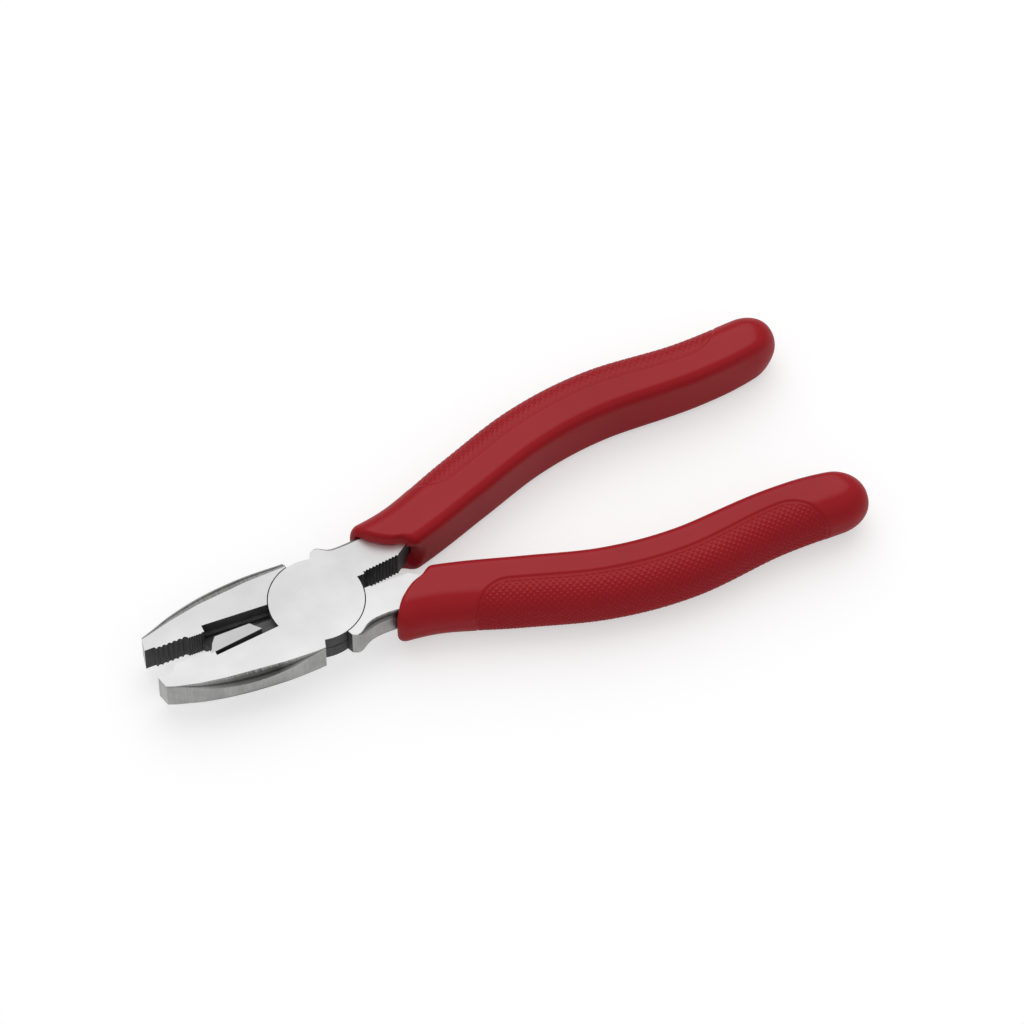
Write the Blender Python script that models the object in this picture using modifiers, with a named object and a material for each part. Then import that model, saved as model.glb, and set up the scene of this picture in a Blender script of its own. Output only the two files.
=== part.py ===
# Combination pliers, 200 mm class: two forged halves lapped at a riveted pivot,
# each with a moulded vinyl grip sleeved over its handle.
#
# Frame: the origin is the centre of the pivot on the rear flat face of the head.
# +X runs from the pivot towards the handles, +Z from the rear face to the front face.
# The front half has the lower jaw (-Y) and the upper handle (+Y).
# The rear half is the same forging turned over about X: upper jaw and lower handle.
# Both stand in the rest pose, with the jaws part open, and swing about Z at the origin.

import math

import bmesh
import bpy
from mathutils import Matrix, Vector

MM = 0.001

# Head and joint, in millimetres
HEAD_THICKNESS = 9.0
DISC_RADIUS = 13.0
SEAM_CLEARANCE = 0.3
LAP_CLEARANCE = 0.3
DISC_STEP_DEGREES = 5.0

# Pivot rivet, in millimetres
RIVET_RADIUS = 4.5
RIVET_HEAD_RADIUS = 5.6
RIVET_HEAD_DEPTH = 1.2
RIVET_CLEARANCE = 0.3

# Outer wall of the jaw, in millimetres: reach of the nose from the pivot, and depth from the
# centre line at stations along the jaw
JAW_REACH = 48.1
NOSE_DEPTH = 8.62
NOSE_SLANT = 0.9
JAW_TIP_X = 43.0
JAW_TIP_DEPTH = 10.4
JAW_FRONT_X = 38.0
JAW_FRONT_DEPTH = 12.5
JAW_CROWN_X = 31.5
JAW_CROWN_DEPTH = 14.4
JAW_MIDDLE_X = 25.0
JAW_MIDDLE_DEPTH = 15.55
JAW_SWELL_X = 18.0
JAW_SWELL_DEPTH = 16.05
JAW_REAR_X = 12.0
JAW_REAR_DEPTH = 15.95
JAW_SHOULDER_X = 3.9
JAW_SHOULDER_STAND = 2.12
JAW_SHOULDER_DEPTH = DISC_RADIUS + JAW_SHOULDER_STAND
JAW_SHOULDER_SLANT = 0.8
JAW_STEPS = 4

# Rounded bevel ground along the outer edges of the jaw, a long lens that fades at both ends.
# Each half has its own length and width of it, in its list of sizes.
LENS_HEIGHT = 2.8
LENS_SWEEP_DEGREES = 76.0
LENS_ARC_STEPS = 5
EDGE_BREAK = 0.22
BEVEL_REACH = 0.02

# Jaw inside, in millimetres: coarse grooves near the nose, fine teeth behind them
COARSE_PITCH = 1.465
COARSE_DEPTH = 0.4
COARSE_FALL_SHARE = 0.3
COARSE_FLOOR_SHARE = 0.35
FINE_PITCH = 0.75
FINE_DEPTH = 0.22
FINE_END_X = 31.7

# Cutter, in millimetres: a blade on one side of the mid-plane and a recess on the other
BLADE_RAMP_X = 30.8
BLADE_RAMP_RISE = -1.0
BLADE_TIP_X = 29.3
BLADE_EDGE_RISE = 0.85
BLADE_END_RISE = 0.65
BLADE_HEEL_LEAD = 6.25
BLADE_HEEL_X = DISC_RADIUS + BLADE_HEEL_LEAD
BLADE_FOOT_LEAD = 3.9
BLADE_FOOT_X = DISC_RADIUS + BLADE_FOOT_LEAD
BLADE_FOOT_DEPTH = 2.3
BLADE_FACET_DROP = 0.3
BLADE_FACET_LEAD = 1.5
RECESS_START_X = 31.3
RECESS_START_DEPTH = 5.3
RECESS_END_DEPTH = 4.0
RECESS_LEDGE_WIDTH = 1.0
RECESS_DEPTH = 4.0
RECESS_MOUTH_ROOM = 0.4
RECESS_MOUTH_RELIEF = 0.08
SLOT_START_X = 31.1
SLOT_START_DEPTH = 3.75
SLOT_WIDTH = 1.25
SLOT_END_DEPTH = 3.5
SLOT_DEPTH = 2.2
SLOT_DISC_GAP = 0.01

# Neck and handle core, in millimetres
NECK_SHOULDER_X = 4.2
NECK_SHOULDER_STAND = 1.2
NECK_SHOULDER_RISE = DISC_RADIUS + NECK_SHOULDER_STAND
NECK_SHOULDER_SLANT = 0.7
NECK_CREST_X = 6.4
NECK_CREST_STAND = 2.1
NECK_CREST_RISE = DISC_RADIUS + NECK_CREST_STAND
NECK_FALL_X = 9.1
NECK_FALL_STAND = 1.0
NECK_FALL_RISE = DISC_RADIUS + NECK_FALL_STAND
NECK_WAIST_X = 12.5
NECK_ROOT_X = 18.0
NECK_HIDDEN_X = 24.0
NECK_HIDDEN_RISE = 14.6
NECK_STEPS = 3
NECK_INNER_RISE = 2.1
NECK_TOOTH_LEAD = 2.0
NECK_TOOTH_START_X = DISC_RADIUS + NECK_TOOTH_LEAD
NECK_TOOTH_PITCH = 1.0
NECK_TOOTH_COUNT = 11
NECK_TOOTH_DEPTH = 0.45
NECK_TURN_X = 27.7
NECK_EDGE_WIDTH = 1.3
NECK_EDGE_HEIGHT = 2.0
NECK_EDGE_START = 1.0
NECK_EDGE_LEAD = 1.5
NECK_EDGE_RUN = 4.0
THROAT_FRONT_X = 29.6
THROAT_FRONT_RISE = 6.4
THROAT_REAR_X = 31.0
THROAT_REAR_RISE = 7.5
CORE_WIDTH = 9.5
CORE_START_X = 33.0
CORE_STEPS = 24
CORE_END_STEPS = 8

# Handle line in plan, in millimetres: it climbs from the neck, bows out, dips and ends
HANDLE_NECK_X = 12.0
HANDLE_NECK_RISE = 9.0
HANDLE_ROOT_X = 30.0
HANDLE_ROOT_RISE = 11.8
HANDLE_CLIMB_SPAN = 22.0
HANDLE_CLIMB_RISE = 19.4
HANDLE_SHOULDER_SPAN = 22.0
HANDLE_SHOULDER_RISE = 26.5
HANDLE_BOW_SPAN = 22.0
HANDLE_BOW_RISE = 29.3
HANDLE_DIP_SPAN = 27.0
HANDLE_DIP_RISE = 27.8
HANDLE_END_SPAN = 27.2
HANDLE_END_RISE = 29.2
HANDLE_STEPS = 8
HANDLE_CLIMB_X = HANDLE_ROOT_X + HANDLE_CLIMB_SPAN
HANDLE_SHOULDER_X = HANDLE_CLIMB_X + HANDLE_SHOULDER_SPAN
HANDLE_BOW_X = HANDLE_SHOULDER_X + HANDLE_BOW_SPAN
HANDLE_DIP_X = HANDLE_BOW_X + HANDLE_DIP_SPAN
HANDLE_LENGTH = HANDLE_DIP_X + HANDLE_END_SPAN

# Grip, in millimetres: flat top and underside, small radius inside, large radius outside.
# The cover lies over the steel's flat faces, and the walls stand beside the handle core.
GRIP_COVER = 4.0
GRIP_THICKNESS = HEAD_THICKNESS + 2 * GRIP_COVER
GRIP_ROOT_WALL = 3.25
GRIP_BOW_WALL = 3.75
GRIP_DIP_WALL = 3.15
GRIP_END_WALL = 2.65
GRIP_INNER_RADIUS = 3.0
GRIP_OUTER_RADIUS = 7.4
GRIP_END_LENGTH = 9.0
GRIP_END_SWEEP_DEGREES = 86.0
GRIP_END_FULLNESS = 0.8
GRIP_CLEARANCE = 0.3
GRIP_STEPS = 34
GRIP_END_STEPS = 7
GRIP_INNER_ARC_STEPS = 4
GRIP_OUTER_ARC_STEPS = 6
GRIP_WIDTH_STEPS = 6
GRIP_TANGENT_STEP = 0.5
CORE_END_X = HANDLE_LENGTH - GRIP_END_LENGTH

# Mouth of the grip in plan, in millimetres: a rounded tongue, longest on its outer side
MOUTH_BACK_X = 23.5
MOUTH_BACK_RISE = 20.9
MOUTH_CORNER_X = 18.7
MOUTH_CORNER_RISE = 19.0
MOUTH_OUTER_X = 16.3
MOUTH_OUTER_RISE = 16.2
MOUTH_TONGUE_X = 18.4
MOUTH_TONGUE_RISE = 13.0
MOUTH_MIDDLE_X = 21.2
MOUTH_MIDDLE_RISE = 10.1
MOUTH_LIP_X = 24.6
MOUTH_LIP_RISE = 7.7
MOUTH_INNER_X = 28.6
MOUTH_INNER_RISE = 6.1
MOUTH_FOOT_X = 31.6
MOUTH_FOOT_RISE = 2.5
MOUTH_STEPS = 4
MOUTH_CUT_ROOM = 8.0

# Cutters run this far past what they cut, in millimetres
OVERRUN = 1.0

# Welding distance, in metres, and the angle above which an edge stays sharp
WELD = 0.00001
SMOOTH_DEGREES = 35.0

# Finishes: linear colour, roughness and metallic value
POLISHED_STEEL = ((0.72, 0.72, 0.72), 0.3, 1.0)
SATIN_STEEL = ((0.62, 0.62, 0.62), 0.35, 1.0)
RIVET_STEEL = ((0.66, 0.66, 0.66), 0.35, 1.0)
FRONT_VINYL = ((0.36, 0.02, 0.025), 0.5, 0.0)
REAR_VINYL = ((0.33, 0.015, 0.02), 0.5, 0.0)


def new_collection(name):
    collection = bpy.data.collections.new(name)
    bpy.context.scene.collection.children.link(collection)
    return collection


def start_scene():
    for thing in list(bpy.data.objects):
        bpy.data.objects.remove(thing, do_unlink=True)
    return new_collection("combination_pliers"), new_collection("cutters")


def material(name, finish):
    colour, roughness, metallic = finish
    made = bpy.data.materials.new(name)
    made.use_nodes = True
    shader = made.node_tree.nodes["Principled BSDF"]
    shader.inputs["Base Color"].default_value = (*colour, 1.0)
    shader.inputs["Roughness"].default_value = roughness
    shader.inputs["Metallic"].default_value = metallic
    return made


def hide_as_cutter(thing):
    thing.hide_render = True
    thing.display_type = "WIRE"


def mesh_object(name, mesh, collection):
    made = bpy.data.objects.new(name, mesh)
    collection.objects.link(made)
    return made


# Plan helpers: every outline is a list of (x, y) pairs in millimetres

def arc(radius, start_degrees, end_degrees, step=DISC_STEP_DEGREES):
    count = max(2, round(abs(end_degrees - start_degrees) / step))
    angles = [start_degrees + (end_degrees - start_degrees) * i / count for i in range(count + 1)]
    return [(radius * math.cos(math.radians(a)), radius * math.sin(math.radians(a))) for a in angles]


def smooth(points, steps):
    """A Catmull-Rom curve through the points, sampled evenly between each pair."""
    first = (2 * points[0][0] - points[1][0], 2 * points[0][1] - points[1][1])
    last = (2 * points[-1][0] - points[-2][0], 2 * points[-1][1] - points[-2][1])
    padded = [first, *points, last]
    curve = []
    for p0, p1, p2, p3 in zip(padded, padded[1:], padded[2:], padded[3:]):
        for i in range(steps):
            t = i / steps
            curve.append(tuple(
                0.5 * (2 * b + (c - a) * t + (2 * a - 5 * b + 4 * c - d) * t ** 2
                       + (3 * b - a - 3 * c + d) * t ** 3)
                for a, b, c, d in zip(p0, p1, p2, p3)))
    curve.append(points[-1])
    return curve


def teeth(start, end, pitch, depth):
    """Notches cut into a straight edge from start to end, to the right of its direction."""
    run = Vector(end) - Vector(start)
    count = max(1, round(run.length / pitch))
    step = run / count
    inward = Vector((step.y, -step.x)).normalized() * depth
    line = []
    for i in range(count):
        crest = Vector(start) + step * i
        line.append(tuple(crest))
        line.append(tuple(crest + step * 0.5 + inward))
    line.append(tuple(end))
    return line


def offset_line(line, distance):
    """Moves an open line to its left by distance, along its own normals."""
    moved = []
    for i, point in enumerate(line):
        before = Vector(line[max(i - 1, 0)])
        after = Vector(line[min(i + 1, len(line) - 1)])
        run = (after - before).normalized()
        moved.append((point[0] - run.y * distance, point[1] + run.x * distance))
    return moved


def height_at(curve, x):
    """The curve's y at x, on a curve whose x only rises."""
    for (x0, y0), (x1, y1) in zip(curve, curve[1:]):
        if x0 <= x <= x1:
            return y0 + (y1 - y0) * (x - x0) / (x1 - x0)
    return curve[0][1] if x < curve[0][0] else curve[-1][1]


# Solids

def plate(name, outline, low, high, collection):
    """A flat outline filled and extruded from z = low to z = high."""
    curve = bpy.data.curves.new(name, "CURVE")
    curve.dimensions = "2D"
    curve.fill_mode = "BOTH"
    curve.extrude = (high - low) / 2 * MM
    spline = curve.splines.new("POLY")
    spline.points.add(len(outline) - 1)
    for point, (x, y) in zip(spline.points, outline):
        point.co = (x * MM, y * MM, 0.0, 1.0)
    spline.use_cyclic_u = True
    drawn = bpy.data.objects.new(name + "_outline", curve)
    collection.objects.link(drawn)
    drawn.location.z = (low + high) / 2 * MM
    bpy.context.view_layer.update()
    graph = bpy.context.evaluated_depsgraph_get()
    mesh = bpy.data.meshes.new_from_object(drawn.evaluated_get(graph))
    made = mesh_object(name, mesh, collection)
    made.matrix_world = drawn.matrix_world.copy()
    weld(mesh)
    bpy.data.objects.remove(drawn, do_unlink=True)
    return made


def weld(mesh):
    work = bmesh.new()
    work.from_mesh(mesh)
    bmesh.ops.remove_doubles(work, verts=work.verts, dist=WELD)
    bmesh.ops.recalc_face_normals(work, faces=work.faces)
    work.to_mesh(mesh)
    work.free()


def loft(name, rings, collection):
    """Skins closed rings of (x, y, z) millimetre points and caps both ends."""
    work = bmesh.new()
    rows = [[work.verts.new((x * MM, y * MM, z * MM)) for x, y, z in ring] for ring in rings]
    for low, high in zip(rows, rows[1:]):
        for i in range(len(low)):
            j = (i + 1) % len(low)
            work.faces.new((low[i], low[j], high[j], high[i]))
    work.faces.new(rows[0])
    work.faces.new(rows[-1])
    bmesh.ops.recalc_face_normals(work, faces=work.faces)
    mesh = bpy.data.meshes.new(name)
    work.to_mesh(mesh)
    work.free()
    return mesh_object(name, mesh, collection)


def turned(name, profile, collection):
    """Turns a profile of (radius, z) millimetre points about Z, with a Screw modifier."""
    mesh = bpy.data.meshes.new(name)
    points = [(radius * MM, 0.0, z * MM) for radius, z in profile]
    mesh.from_pydata(points, [(i, i + 1) for i in range(len(points) - 1)], [])
    made = mesh_object(name, mesh, collection)
    screw = made.modifiers.new("turn", "SCREW")
    screw.angle = math.tau
    screw.steps = round(360 / DISC_STEP_DEGREES)
    screw.render_steps = screw.steps
    screw.use_merge_vertices = True
    screw.merge_threshold = WELD
    return made


def cut(body, cutter):
    hide_as_cutter(cutter)
    step = body.modifiers.new(cutter.name, "BOOLEAN")
    step.operation = "DIFFERENCE"
    step.solver = "EXACT"
    step.object = cutter


# The forged half, drawn as the front half: jaw below, handle above, blade at the front

MID = HEAD_THICKNESS / 2
LAP_HALF = LAP_CLEARANCE / 2
SWING_RADIUS = DISC_RADIUS + SEAM_CLEARANCE


def circle_x(y):
    return math.sqrt(DISC_RADIUS ** 2 - y ** 2)


def jaw_wall():
    """The outer wall of the jaw, from the nose to the rear shoulder."""
    return smooth([
        (-JAW_REACH + NOSE_SLANT, -NOSE_DEPTH),
        (-JAW_TIP_X, -JAW_TIP_DEPTH),
        (-JAW_FRONT_X, -JAW_FRONT_DEPTH),
        (-JAW_CROWN_X, -JAW_CROWN_DEPTH),
        (-JAW_MIDDLE_X, -JAW_MIDDLE_DEPTH),
        (-JAW_SWELL_X, -JAW_SWELL_DEPTH),
        (-JAW_REAR_X, -JAW_REAR_DEPTH),
        (-JAW_SHOULDER_X, -JAW_SHOULDER_DEPTH),
    ], JAW_STEPS)


def lens_size(x, sizes):
    """Width and height of the ground bevel at x, each from the edge break to its full size."""
    along = (x + sizes["lens_start"]) / (sizes["lens_start"] + sizes["lens_end"])
    share = math.sin(math.pi * min(max(along, 0.0), 1.0)) ** sizes["lens_fullness"]
    return (EDGE_BREAK + (sizes["lens_width"] - EDGE_BREAK) * share,
            EDGE_BREAK + (LENS_HEIGHT - EDGE_BREAK) * share)


def jaw_edge(sizes):
    """The edge of the jaw's flat face: the wall moved in by the width of the bevel."""
    return [(x, y + lens_size(x, sizes)[0]) for x, y in jaw_wall()]


def coarse_grooves(start_x, end_x, rise):
    """Transverse grooves, each a flat-floored valley between two crests."""
    count = max(1, round((end_x - start_x) / COARSE_PITCH))
    pitch = (end_x - start_x) / count
    line = []
    for i in range(count):
        x = start_x + pitch * i
        line.append((x, rise))
        line.append((x + pitch * COARSE_FALL_SHARE, rise - COARSE_DEPTH))
        line.append((x + pitch * (COARSE_FALL_SHARE + COARSE_FLOOR_SHARE), rise - COARSE_DEPTH))
    line.append((end_x, rise))
    return line


def jaw_face(sizes):
    """The gripping edge of the jaw, from the nose to the root of the blade."""
    line = [(-JAW_REACH, -sizes["nose_face"])]
    line.append((-sizes["crown_x"] - sizes["crown_ramp"], -sizes["nose_face"] + sizes["nose_taper"]))
    line += coarse_grooves(-sizes["crown_x"], -sizes["crown_end"], -sizes["crown"])
    line += teeth((-sizes["crown_end"] + FINE_DEPTH, -sizes["fine_start"]),
                  (-FINE_END_X, -sizes["fine_end"]), FINE_PITCH, FINE_DEPTH)
    return line


def blade_edge():
    """The blade in plan, from its root up the ramp and along the straight edge to the disc."""
    return [
        (-BLADE_RAMP_X, BLADE_RAMP_RISE),
        (-BLADE_TIP_X, BLADE_EDGE_RISE),
        (-circle_x(BLADE_END_RISE), BLADE_END_RISE),
    ]


def blade_rise(x):
    """The blade's edge at x, on the straight line from its tip to the disc."""
    share = (x + BLADE_TIP_X) / (BLADE_TIP_X - circle_x(BLADE_END_RISE))
    return BLADE_EDGE_RISE + (BLADE_END_RISE - BLADE_EDGE_RISE) * share


def neck_outer(sizes):
    """Outer edge of the neck, from its shoulder at the disc to the handle core."""
    return smooth([
        (NECK_SHOULDER_X, NECK_SHOULDER_RISE),
        (NECK_CREST_X, NECK_CREST_RISE),
        (NECK_FALL_X, NECK_FALL_RISE),
        (NECK_WAIST_X, sizes["neck_waist"]),
        (NECK_ROOT_X, sizes["neck_root"]),
        (NECK_HIDDEN_X, NECK_HIDDEN_RISE),
    ], NECK_STEPS)


def core_line(side):
    """One edge of the handle core, side +1 outside and -1 inside, from the neck to the end."""
    line = handle_line()
    span = CORE_END_X - CORE_START_X
    xs = [CORE_START_X + span * i / CORE_STEPS for i in range(CORE_STEPS + 1)]
    centre = [(x, height_at(line, x)) for x in xs]
    return offset_line(centre, side * CORE_WIDTH / 2)


def core_end():
    """Round end of the handle core, from its outer edge to its inner edge."""
    outer = Vector(core_line(1)[-1])
    inner = Vector(core_line(-1)[-1])
    centre = (outer + inner) / 2
    spoke = outer - centre
    turns = [-math.pi * i / CORE_END_STEPS for i in range(1, CORE_END_STEPS)]
    return [tuple(centre + Matrix.Rotation(a, 2) @ spoke) for a in turns]


def neck_teeth(sizes):
    """Serrated inner edge of the neck, from the handle back to the disc."""
    run = NECK_TOOTH_PITCH * NECK_TOOTH_COUNT
    return teeth((NECK_TOOTH_START_X + run, sizes["neck_end"]), (NECK_TOOTH_START_X, sizes["neck_start"]),
                 NECK_TOOTH_PITCH, -NECK_TOOTH_DEPTH)


def handle_inner(sizes):
    """Inner edge of the handle from the core back to the neck's last tooth."""
    return [
        (THROAT_REAR_X, THROAT_REAR_RISE),
        (THROAT_FRONT_X, THROAT_FRONT_RISE),
        (NECK_TURN_X, sizes["neck_turn"]),
    ]


def handle_line():
    """Centre line of the handle in plan."""
    return smooth([
        (HANDLE_NECK_X, HANDLE_NECK_RISE),
        (HANDLE_ROOT_X, HANDLE_ROOT_RISE),
        (HANDLE_CLIMB_X, HANDLE_CLIMB_RISE),
        (HANDLE_SHOULDER_X, HANDLE_SHOULDER_RISE),
        (HANDLE_BOW_X, HANDLE_BOW_RISE),
        (HANDLE_DIP_X, HANDLE_DIP_RISE),
        (HANDLE_LENGTH, HANDLE_END_RISE),
    ], HANDLE_STEPS)


def half_outline(sizes):
    """Plan of a whole half: jaw face, blade, disc, neck, core, neck teeth, disc, jaw wall."""
    blade = blade_edge()
    blade_degrees = math.degrees(math.atan2(blade[-1][1], blade[-1][0]))
    neck_degrees = math.degrees(math.acos((NECK_SHOULDER_X - NECK_SHOULDER_SLANT) / DISC_RADIUS))
    inner_degrees = math.degrees(math.asin(NECK_INNER_RISE / DISC_RADIUS))
    shoulder_degrees = -math.degrees(math.acos(-(JAW_SHOULDER_X - JAW_SHOULDER_SLANT) / DISC_RADIUS))
    line = jaw_face(sizes)
    line += blade
    line += arc(DISC_RADIUS, blade_degrees, neck_degrees)[1:]
    line += neck_outer(sizes)
    line += core_line(1)
    line += core_end()
    line += core_line(-1)[::-1]
    line += handle_inner(sizes)
    line += neck_teeth(sizes)
    line.append((NECK_TOOTH_START_X, NECK_INNER_RISE))
    line += arc(DISC_RADIUS, inner_degrees, shoulder_degrees)
    line += jaw_wall()[::-1]
    return line


def bevel_cutter(name, edge, widths, face, outward, collection):
    """Takes a rounded bevel off an edge. The face is z = 0 or the head's front, and outward
    is the way along Y from the face to the wall. Widths holds the bevel's width and height
    at each point of the edge."""
    into = 1 if face == 0 else -1
    sweep = math.radians(LENS_SWEEP_DEGREES)
    rings = []
    for (x, y), (width, height) in zip(edge, widths):
        ring = []
        for i in range(LENS_ARC_STEPS + 1):
            turn = sweep * i / LENS_ARC_STEPS
            side = (width + BEVEL_REACH) * math.sin(turn) / math.sin(sweep)
            drop = height * (1 - math.cos(turn)) / (1 - math.cos(sweep))
            ring.append((x, y + outward * side, face + into * drop))
        ring.append((x, y + outward * (width + OVERRUN), face + into * height))
        ring.append((x, y + outward * (width + OVERRUN), face - into * OVERRUN))
        ring.append((x, y, face - into * OVERRUN))
        rings.append(ring)
    return loft(name, rings, collection)


def run_past(edge):
    """The edge with a straight run added past each end."""
    (x0, y0), (x1, y1) = edge[0], edge[1]
    (x3, y3), (x2, y2) = edge[-1], edge[-2]
    before = (x0 - OVERRUN * 2, y0 - OVERRUN * 2 * (y1 - y0) / (x1 - x0))
    after = (x3 + OVERRUN, y3 + OVERRUN * (y3 - y2) / (x3 - x2))
    return [before, *edge, after]


def neck_size(x):
    """The neck's edge bevel opens over the first few millimetres behind the shoulder."""
    share = min(max((x - NECK_SHOULDER_X - NECK_EDGE_LEAD) / NECK_EDGE_RUN, 0.0), 1.0)
    return (EDGE_BREAK + (NECK_EDGE_WIDTH - EDGE_BREAK) * share,
            EDGE_BREAK + (NECK_EDGE_HEIGHT - EDGE_BREAK) * share)


def recess_outline(sizes, inset):
    """Plan of the recess for the other half's blade, its wall moved in by inset. Its mouth
    clears the ramp of this half's own blade, down to just below the fine teeth."""
    wall_end = -DISC_RADIUS + OVERRUN
    far_rise = BLADE_EDGE_RISE + OVERRUN * 2
    mouth_x = -FINE_END_X - RECESS_MOUTH_ROOM
    mouth_rise = -sizes["fine_end"] - FINE_DEPTH - RECESS_MOUTH_RELIEF
    return [
        (-RECESS_START_X, -RECESS_START_DEPTH + inset),
        (wall_end, -RECESS_END_DEPTH + inset),
        (wall_end, far_rise),
        (mouth_x, far_rise),
        (mouth_x, mouth_rise),
        (-RECESS_START_X, mouth_rise),
    ]


def slot_outline():
    """Plan of the slot behind the blade and of the pocket between its foot and the disc."""
    slope = (SLOT_START_DEPTH - BLADE_FOOT_DEPTH) / (SLOT_START_X - BLADE_FOOT_X)
    lower_start = -SLOT_START_DEPTH - SLOT_WIDTH
    heel_rise = blade_rise(-BLADE_HEEL_X)
    pocket_rise = heel_rise + OVERRUN * 2
    pocket_slope = (heel_rise + BLADE_FOOT_DEPTH) / (BLADE_FOOT_X - BLADE_HEEL_X)
    heel_x = -BLADE_HEEL_X + (pocket_rise - heel_rise) / pocket_slope
    disc = arc(DISC_RADIUS + SLOT_DISC_GAP, 180 + math.degrees(math.asin(SLOT_END_DEPTH / DISC_RADIUS)),
               180 - math.degrees(math.asin(pocket_rise / DISC_RADIUS)))
    return [
        (-SLOT_START_X, -SLOT_START_DEPTH),
        (-SLOT_START_X, lower_start),
        *disc,
        (heel_x, pocket_rise),
        (-BLADE_FOOT_X, -SLOT_START_DEPTH + slope * (SLOT_START_X - BLADE_FOOT_X)),
    ]


def facet_cutter(name, collection):
    """Wedge that tilts the blade's front facet down towards its cutting edge."""
    ramp_x = -BLADE_RAMP_X - BLADE_FACET_LEAD
    foot_x = -BLADE_FOOT_X + OVERRUN
    slope = (SLOT_START_DEPTH - BLADE_FOOT_DEPTH) / (SLOT_START_X - BLADE_FOOT_X)
    rings = []
    for x in (ramp_x, foot_x):
        hinge = -BLADE_FOOT_DEPTH - slope * (-BLADE_FOOT_X - x)
        width = BLADE_EDGE_RISE - hinge
        far = hinge + width + OVERRUN
        fall = BLADE_FACET_DROP * (width + OVERRUN) / width
        rings.append([(x, hinge, HEAD_THICKNESS), (x, far, HEAD_THICKNESS - fall),
                      (x, far, HEAD_THICKNESS + OVERRUN), (x, hinge, HEAD_THICKNESS + OVERRUN)])
    return loft(name, rings, collection)


def rivet_profile(clearance, overrun):
    """Half section of the rivet, or with a clearance the bore that it fills, top to bottom."""
    radius = RIVET_RADIUS + clearance
    head = RIVET_HEAD_RADIUS + clearance
    top = HEAD_THICKNESS + overrun
    return [
        (0.0, top),
        (head, top),
        (head, HEAD_THICKNESS - clearance),
        (radius, HEAD_THICKNESS - RIVET_HEAD_DEPTH - clearance),
        (radius, RIVET_HEAD_DEPTH + clearance),
        (head, clearance),
        (head, -overrun),
        (0.0, -overrun),
    ]


def turned_over(thing):
    """Turns a solid half a turn about the X axis through the middle of the head."""
    about = Matrix.Translation((0, 0, MID * MM))
    half_turn = about @ Matrix.Rotation(math.pi, 4, "X") @ about.inverted()
    thing.matrix_world = half_turn @ thing.matrix_world


def forged_half(name, sizes, flipped, parts, cutters):
    body = plate(name, half_outline(sizes), 0.0, HEAD_THICKNESS, parts)
    edge = run_past(jaw_edge(sizes))
    lens = [lens_size(x, sizes) for x, y in edge]
    wall = [point for point in neck_outer(sizes) if point[0] > NECK_SHOULDER_X + NECK_EDGE_START]
    neck = [(x, y - neck_size(x)[0]) for x, y in wall]
    neck_lens = [neck_size(x) for x, y in neck]
    blade_low = HEAD_THICKNESS - RECESS_DEPTH + LAP_CLEARANCE
    swing = arc(SWING_RADIUS, 0, 360)[:-1]
    tools = [
        bevel_cutter(name + "_jaw_front_bevel", edge, lens, HEAD_THICKNESS, -1, cutters),
        bevel_cutter(name + "_jaw_rear_bevel", edge, lens, 0, -1, cutters),
        bevel_cutter(name + "_neck_front_bevel", neck, neck_lens, HEAD_THICKNESS, 1, cutters),
        bevel_cutter(name + "_neck_rear_bevel", neck, neck_lens, 0, 1, cutters),
        plate(name + "_swing_room", swing, -OVERRUN, MID + LAP_HALF, cutters),
        plate(name + "_recess", recess_outline(sizes, 0.0), -OVERRUN, RECESS_DEPTH, cutters),
        plate(name + "_recess_floor", recess_outline(sizes, RECESS_LEDGE_WIDTH), -OVERRUN, blade_low,
              cutters),
        plate(name + "_slot", slot_outline(), HEAD_THICKNESS - SLOT_DEPTH,
              HEAD_THICKNESS + OVERRUN, cutters),
        facet_cutter(name + "_facet", cutters),
        turned(name + "_bore", rivet_profile(RIVET_CLEARANCE, OVERRUN), cutters),
    ]
    if flipped:
        turned_over(body)
        for tool in tools:
            turned_over(tool)
    for tool in tools:
        cut(body, tool)
    return body


# What differs between the two halves, in millimetres: the bevel along the jaw, the gripping
# edge from the nose to the fine teeth, and the neck. Fullness is the power of the bevel's curve.
FRONT_SIZES = {
    "lens_start": 45.0, "lens_end": -5.0, "lens_width": 2.2, "lens_fullness": 1.0,
    "nose_face": 5.0, "nose_taper": 0.35, "crown_ramp": 1.8, "crown_x": 42.0, "crown_end": 37.6,
    "crown": 2.55, "fine_start": 2.65, "fine_end": 2.85,
    "neck_waist": 13.75, "neck_root": 14.0, "neck_start": 3.0, "neck_end": 4.1, "neck_turn": 5.2,
}
REAR_SIZES = {
    "lens_start": 48.0, "lens_end": 4.0, "lens_width": 3.25, "lens_fullness": 0.7,
    "nose_face": 4.35, "nose_taper": 0.05, "crown_ramp": 0.4, "crown_x": 44.9, "crown_end": 36.1,
    "crown": 3.55, "fine_start": 3.1, "fine_end": 2.95,
    "neck_waist": 13.15, "neck_root": 13.2, "neck_start": 2.7, "neck_end": 2.9, "neck_turn": 4.0,
}


# The grip

def grip_width(x):
    """Plan width of the grip at x: narrow at the root, widest at the bow, narrower at the dip."""
    wall = smooth([
        (HANDLE_NECK_X, GRIP_ROOT_WALL),
        (HANDLE_ROOT_X, GRIP_ROOT_WALL),
        (HANDLE_CLIMB_X, GRIP_BOW_WALL),
        (HANDLE_BOW_X, GRIP_BOW_WALL),
        (HANDLE_DIP_X, GRIP_DIP_WALL),
        (HANDLE_LENGTH, GRIP_END_WALL),
    ], GRIP_WIDTH_STEPS)
    return CORE_WIDTH + 2 * height_at(wall, x)


def corner(centre_y, centre_z, radius, start_degrees, end_degrees, steps):
    angles = [math.radians(start_degrees + (end_degrees - start_degrees) * i / steps)
              for i in range(steps + 1)]
    return [(centre_y + radius * math.cos(a), centre_z + radius * math.sin(a)) for a in angles]


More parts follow.
